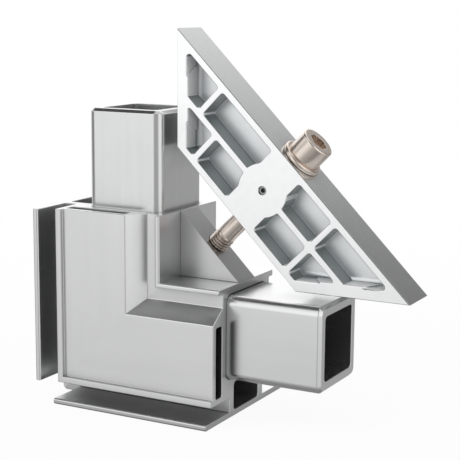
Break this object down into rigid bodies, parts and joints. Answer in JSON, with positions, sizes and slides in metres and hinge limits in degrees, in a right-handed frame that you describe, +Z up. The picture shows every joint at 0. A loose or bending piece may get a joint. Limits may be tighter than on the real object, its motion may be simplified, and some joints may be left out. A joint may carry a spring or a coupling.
{
  "type": "mitred frame corner connector",
  "caption": "Frame corner: mitred hollow profiles on square tubes, with a tapped corner block and a pocketed gusset plate on a diagonal tie screw.",
  "frame": {"origin": "on the floor under the middle of the whole part's box", "axes": "+X along the base leg, away from the corner; +Y to the back, away from the front panel; +Z up along the upright leg"},
  "size_m": [0.1792, 0.0816, 0.1791],
  "materials": {
    "profile": "satin anodised extrusion",
    "tube": "satin, drawn along its length",
    "block": "milled, satin",
    "plate": "milled and polished on the edges, satin in the pockets",
    "screw": "warm nickel plating",
    "lock": "dark steel"
  },
  "bodies": {
    "root": {"base_profile": "profile", "upright_profile": "profile", "base_tube": "tube", "upright_tube": "tube", "corner_block": "block", "gusset_plate": "plate", "tie_screw": "screw", "washer": "screw", "lock_screw": "lock"}
  },
  "joints": []
}
